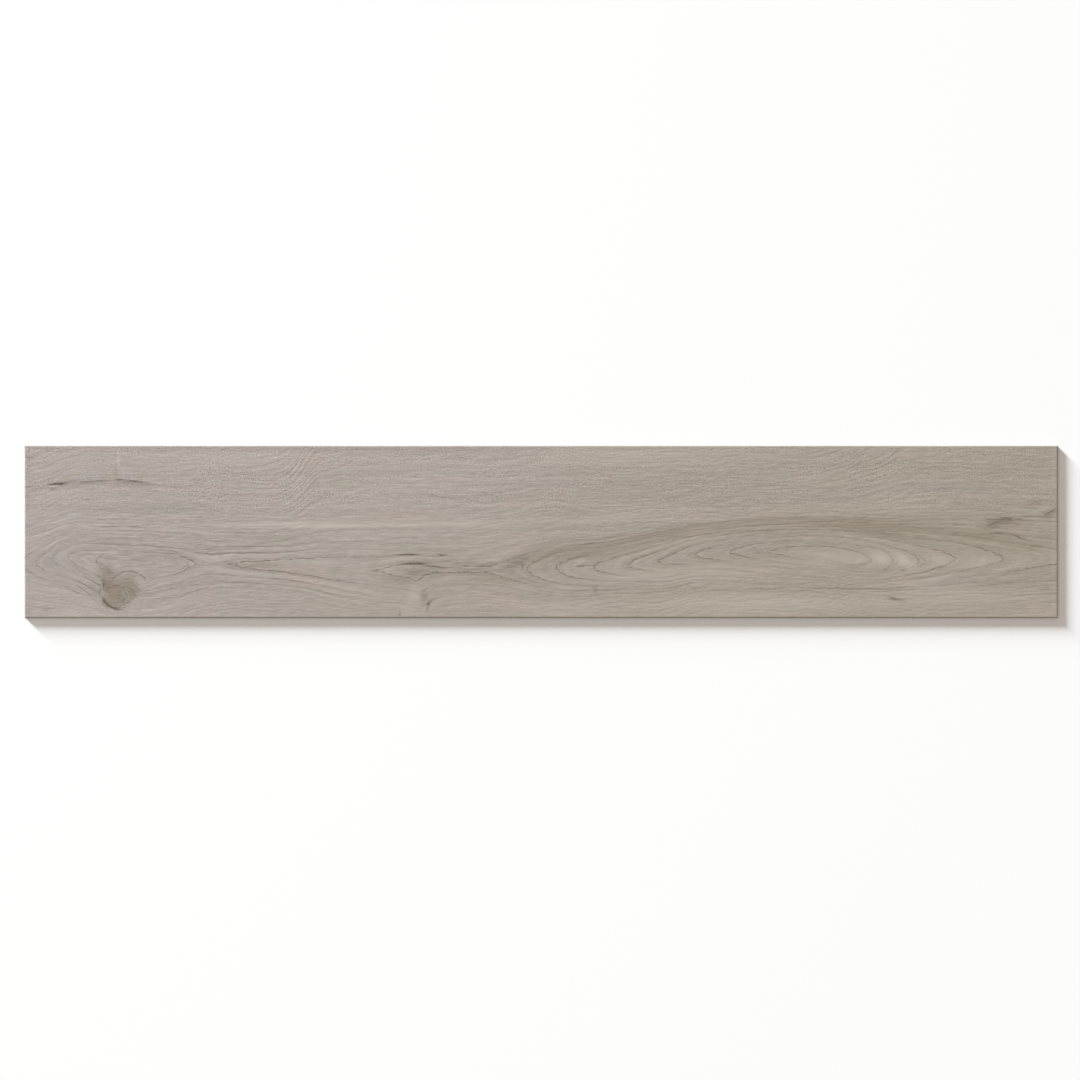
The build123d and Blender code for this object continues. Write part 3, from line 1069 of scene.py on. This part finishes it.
# %% Darken and lighten it with fibres
def tone_fibres(w, colour, x, y, under_top, drop, strands):
    """The ground under its streaks, hairs, brushed fibres and specks, the specks being painted glints
    and painted shade of the emboss.
    """
    plain, ringed = strands["Plain streaks"], strands["Ring streaks"]
    streaks = w.node("ShaderNodeMix", under_top, None, plain, ringed).outputs[0]
    tone = w.ramp(streaks, 0.3, 0.7, 0.91, 1.09)

    to_left = w.ramp(x, -120.0, -330.0)
    hair_depth = w.math("MULTIPLY_ADD", to_left, 0.03, 0.08)
    hairs = w.ramp(strands["Hairs"], 0.3, 0.7, -1.0, 1.0)
    tone = w.math("MULTIPLY_ADD", hairs, hair_depth, tone)

    brushed_left = w.ramp(x, -190.0, -330.0, 0.35, 1.0)
    brushed_down = w.multiply(under_top, w.ramp(y, -45.0, -25.0, 0.3, 1.0))
    brushed = w.multiply(brushed_left, brushed_down)
    brush = w.ramp(strands["Brush"], 0.3, 0.7, -0.13, 0.13)
    tone = w.add(tone, w.multiply(brush, brushed))

    # The specks are painted light: the light ones are painted glints on the emboss, the dark ones
    # painted shade in its pits, in patches, strongest in the upper zone and towards the left.
    in_patches = w.ramp(strands["Patches"], 0.36, 0.6, 0.3, 1.0)
    glint_zone = w.multiply(in_patches, w.ramp(drop, 1.5, 4.0, 0.5, 1.0))
    upper = w.multiply(w.ramp(y, 10.0, 30.0), w.math("MULTIPLY_ADD", to_left, 0.4, 0.8))
    glint_zone = w.multiply(glint_zone, w.add(upper, 0.5))
    painted_glints = w.ramp(strands["Specks"], 0.53, 0.68, 0.0, 0.24)
    painted_pit_shade = w.ramp(strands["Specks"], 0.32, 0.47, -0.22, 0.0)
    tone = w.math("MULTIPLY_ADD", w.add(painted_glints, painted_pit_shade), glint_zone, tone)

    toned = w.node("ShaderNodeHueSaturation")
    w.feed(toned.inputs["Value"], tone)
    w.feed(toned.inputs["Color"], colour)
    return toned.outputs[0]


# %% [markdown]
# ## The rings in ink
#
# Over the large arches the rings are darker in a broad band. The lines themselves come
# after it, each with its soft shade and with pale early wood between them. Outside the
# lined zone they don't end, they only turn faint.

# %% Print the rings
band_strength = 0.6
shade_strength = 0.16


def darken_band(w, colour, x, y, rings, ring_streaks):
    """The band of darker rings over the large arches."""
    in_band = w.multiply(w.ramp(rings, -1.0, 0.8), w.ramp(rings, 6.6, 2.6))
    in_band = w.multiply(in_band, w.ramp(y, -34.0, -20.0))
    in_band = w.multiply(in_band, w.multiply(w.ramp(x, -40.0, 10.0), w.ramp(x, 420.0, 260.0)))
    in_band = w.multiply(in_band, w.ramp(ring_streaks, 0.35, 0.6, 1.0, 0.35))
    return w.mix(w.multiply(in_band, band_strength), colour, shade_ink)


def print_rings(w, colour, x, y, field, lined, faint):
    """The rings' shade, their pale wood and their lines. The left arches are paler."""
    shade = w.multiply(w.multiply(field["Shade"], faint), shade_strength)
    colour = w.mix(shade, colour, shade_ink)
    left_arches = use_group(w, soft_oval, x, y, -400.0, 0.0, 110.0, 26.0, 0.0, 0.8)[0]
    pale_strength = w.math("MULTIPLY_ADD", left_arches, 0.3, 0.2)
    pale = w.multiply(w.multiply(field["Pale"], lined), pale_strength)
    colour = w.mix(pale, colour, pale_ink)
    return w.mix(w.multiply(field["Line"], faint), colour, ring_ink)


# %% [markdown]
# ## The marks in ink
#
# A bare oval would look like a drop of paint. On wood a mark follows the fibres, so its
# place is combed along the rings first. A wide mark is then ragged and streaked along the
# fibres, and a fine stroke is shaken and broken into dots.

# %% Print the marks and knots
# Marks with a greater half width than this count as wide.
wide_from = 2


def comb_places(w, x, y, strands):
    """The place combed along the rings, and its height ragged for wide marks or shaken."""
    comb = w.subtract(strands["Brush"], 0.5)
    combed_x = w.math("MULTIPLY_ADD", comb, 3.0, x)
    combed_y = w.math("MULTIPLY_ADD", comb, 0.5, y)
    ragged = w.math("MULTIPLY_ADD", w.subtract(strands["Hairs"], 0.5), 2.2, combed_y)
    shaken = w.math("MULTIPLY_ADD", w.subtract(strands["Tint"], 0.5), 2.6, combed_y)
    return combed_x, combed_y, ragged, shaken


def print_marks(w, colour, combed, strands):
    """All the marks, in the order of their list."""
    combed_x, combed_y, ragged, shaken = combed
    streaked = w.ramp(strands["Hairs"], 0.36, 0.58, 1.0, 0.55)
    dotted = w.ramp(strands["Specks"], 0.4, 0.56, 1.0, 0.7)
    for label, centre_x, centre_y, half_length, half_width, slope, softness, mark_ink, strength in marks:
        wide = half_width > wide_from
        place = (combed_x, ragged if wide else shaken, centre_x, centre_y)
        oval = use_group(w, soft_oval, *place, half_length, half_width, slope, softness)[0]
        oval = w.multiply(oval, streaked if wide else dotted)
        colour = w.mix(w.multiply(oval, strength), colour, mark_ink)
    return colour


def print_knots(w, colour, combed):
    """The knots' own figures and the arcs over them."""
    combed_x, combed_y, ragged, shaken = combed
    for centre_x, centre_y, half_length, half_width, ring_count in knots:
        place = (combed_x, combed_y, centre_x, centre_y)
        figure = use_group(w, knot_figure, *place, half_length, half_width, ring_count)
        colour = w.mix(w.multiply(figure["Body"], 0.45), colour, knot_ink)
        colour = w.mix(w.multiply(figure["Rings"], 0.7), colour, dark_ink)
        colour = w.mix(w.multiply(figure["Crescent"], 0.8), colour, dark_ink)
    for centre_x, centre_y, half_length, half_width in arcs:
        place = (combed_x, shaken, centre_x, centre_y)
        arc = use_group(w, soft_arc, *place, half_length, half_width)[0]
        colour = w.mix(w.multiply(arc, 0.55), colour, ring_ink)
    return colour


# %% [markdown]
# ## The finished face
#
# The press folds the print over the micro-bevel, where it looks a shade darker. Over it all
# lies the clear wear layer, a satin one: a single roughness would look like plastic, so it
# is duller in the hollows than on the ridges, and its relief is the emboss, the hairs and
# a few pores.

# %% Lay down the print
bevel_shade = 0.46
faintest = 0.04
face_relief = 0.022 * mm
pore_depth = 0.35


def shade_bevel(w, colour, x, y):
    """The bevel, pressed through the print."""
    end_gap = w.subtract(length / 2 / mm, w.math("ABSOLUTE", x))
    side_gap = w.subtract(width / 2 / mm, w.math("ABSOLUTE", y))
    rim_gap = w.math("MINIMUM", end_gap, side_gap)
    bevel_mm = bevel_width / mm
    bevel = w.ramp(rim_gap, bevel_mm * 0.8, bevel_mm * 1.3, bevel_shade, 0.0)
    return w.mix(bevel, colour, shade_ink)


def build_decor():
    """The printed face with its bevel and its satin wear layer."""
    material, w, shader, (x, y, z) = new_material("decor_print")
    field = use_group(w, ring_lines, x, y)
    strands = use_group(w, fibres, x, y, field["Rings"])
    under_top, lined = lined_zone(w, x, y)
    faint = w.ramp(lined, 0.0, 1.0, faintest, 1.0)

    colour = mix_ground(w, x, y, strands)
    colour = tone_fibres(w, colour, x, y, under_top, field["Drop"], strands)
    colour = darken_band(w, colour, x, y, field["Rings"], strands["Ring streaks"])
    colour = print_rings(w, colour, x, y, field, lined, faint)
    combed = comb_places(w, x, y, strands)
    colour = print_marks(w, colour, combed, strands)
    colour = print_knots(w, colour, combed)
    colour = shade_bevel(w, colour, x, y)
    w.feed(shader.inputs["Base Color"], colour)

    emboss = use_group(w, vinyl_emboss, x, y, 2.4, 0.7)[0]
    pores = w.multiply(w.ramp(strands["Specks"], 0.24, 0.42, 1.0, 0.0), pore_depth)
    relief = w.add(w.multiply(emboss, 0.6), w.multiply(strands["Hairs"], 0.4))
    press_relief(w, shader, w.subtract(relief, pores), 1.0, face_relief)
    w.feed(shader.inputs["Roughness"], w.ramp(emboss, 0.3, 0.7, 0.52, 0.40))
    return material


decor_print = build_decor()
print(f"decor print: {len(decor_print.node_tree.nodes)} nodes")

# %% [markdown]
# ## The cut side
#
# The die leaves the sheet's section open: a thin clear wear layer over the dark edge of the
# printed film, then the filled core, a grey with fine chalky grains in it. The layers don't
# come apart, so they are no pieces of their own. They are bands of colour by height, and
# the die's drag is a few upright streaks.

# %% Build the cut side
core_grey = ink(108, 103, 97)
core_chalk = ink(131, 127, 121)
drag_grey = ink(96, 91, 86)
wear_layer = ink(138, 129, 119)
film_edge = ink(88, 79, 70)
film_depth = 0.55


def build_cut_side():
    """The section through wear layer, film and core that the die leaves."""
    material, w, shader, (x, y, z) = new_material("cut_side")
    run = w.add(x, y)
    grains = w.noise(run, z, 0.5, 0.25, 81.0, 2.0)
    drag = w.noise(run, z, 1.2, 8.0, 83.0, 2.0)
    core = w.mix(w.ramp(grains, 0.3, 0.7), core_grey, core_chalk)
    core = w.mix(w.ramp(drag, 0.3, 0.7, 0.0, 0.25), core, drag_grey)
    film_height = thickness / mm - film_depth
    film = w.ramp(w.math("ABSOLUTE", w.subtract(z, film_height)), 0.04, 0.09, 0.7, 0.0)
    clear = w.ramp(z, film_height, film_height + 0.06)
    colour = w.mix(clear, core, wear_layer)
    w.feed(shader.inputs["Base Color"], w.mix(film, colour, film_edge))
    w.feed(shader.inputs["Roughness"], w.ramp(grains, 0.3, 0.7, 0.6, 0.75))
    emboss = use_group(w, vinyl_emboss, run, z, 0.6, 0.5)[0]
    press_relief(w, shader, emboss, 0.6, 0.03 * mm)
    return material


cut_side = build_cut_side()
print(f"cut side: film {film_depth:.2f} mm under the face")

# %% [markdown]
# ## The backing
#
# The underside is calendered vinyl, a plain matt grey. Only a broad cloud, the streaks that
# the rollers leave and a fine pebble that helps the glue to hold keep it from looking flat.

# %% Build the backing
backing_grey = ink(116, 113, 109)
backing_pale = ink(127, 124, 120)
roller_grey = ink(108, 105, 101)
pebble_pale = ink(138, 135, 131)
pebble_depth = 0.12 * mm


def build_backing():
    """The plain pebbled underside."""
    material, w, shader, (x, y, z) = new_material("backing_vinyl")
    cloud = w.noise(x, y, 120, 60, 91.0, 3.0)
    rolled = w.noise(x, y, 60, 1.5, 93.0, 2.0)
    pebble = use_group(w, vinyl_emboss, x, y, 1.4, 1.1)[0]
    colour = w.mix(w.ramp(cloud, 0.3, 0.7), backing_grey, backing_pale)
    colour = w.mix(w.ramp(rolled, 0.35, 0.7, 0.0, 0.3), colour, roller_grey)
    colour = w.mix(w.ramp(pebble, 0.55, 0.75, 0.0, 0.35), colour, pebble_pale)
    w.feed(shader.inputs["Base Color"], colour)
    w.feed(shader.inputs["Roughness"], w.ramp(pebble, 0.3, 0.7, 0.78, 0.62))
    press_relief(w, shader, pebble, 1.0, pebble_depth)
    return material


backing_vinyl = build_backing()
print(f"backing: pebble {pebble_depth / mm:.2f} mm deep")

# %% [markdown]
# ## Press the plank
#
# The tree is put on an empty mesh, and the real sizes go in as its inputs. It could stay a
# live modifier, but a finished part is easier to hand on as a plain mesh, so it is evaluated
# once and copied.


# %% Evaluate the tree
def make_plank():
    """The plank as a plain mesh object."""
    tree = build_plank_tree(decor_print, cut_side, backing_vinyl)
    seed_mesh = bpy.data.meshes.new("plank_seed")
    seed = bpy.data.objects.new("plank_seed", seed_mesh)
    bpy.context.scene.collection.objects.link(seed)
    modifier = seed.modifiers.new("press", "NODES")
    modifier.node_group = tree
    sizes = {
        "Length": length,
        "Width": width,
        "Relief depth": relief_depth,
        "Columns": columns,
        "Rows": rows,
        "Gather": gather,
    }
    for item in tree.interface.items_tree:
        if item.in_out == "INPUT" and item.name in sizes:
            modifier[item.identifier] = sizes[item.name]
    evaluated = seed.evaluated_get(bpy.context.evaluated_depsgraph_get())
    mesh = bpy.data.meshes.new_from_object(evaluated)
    mesh.name = "vinyl_plank"
    mesh.materials.pop(index=0)  # the grid's own empty slot
    bpy.data.objects.remove(seed)
    plank = bpy.data.objects.new("vinyl_plank", mesh)
    bpy.context.scene.collection.objects.link(plank)
    return plank


plank = make_plank()
triangles = sum(len(face.vertices) - 2 for face in plank.data.polygons)
print(f"vinyl_plank: {len(plank.data.vertices)} points, {triangles} triangles")
for index, material in enumerate(plank.data.materials):
    faces = sum(face.material_index == index for face in plank.data.polygons)
    print(f"{material.name}: {faces} faces")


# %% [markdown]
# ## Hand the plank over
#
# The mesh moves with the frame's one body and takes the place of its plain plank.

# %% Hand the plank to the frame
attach(plank, "root")
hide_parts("plank")
print("the plank rides on root and replaces plank")
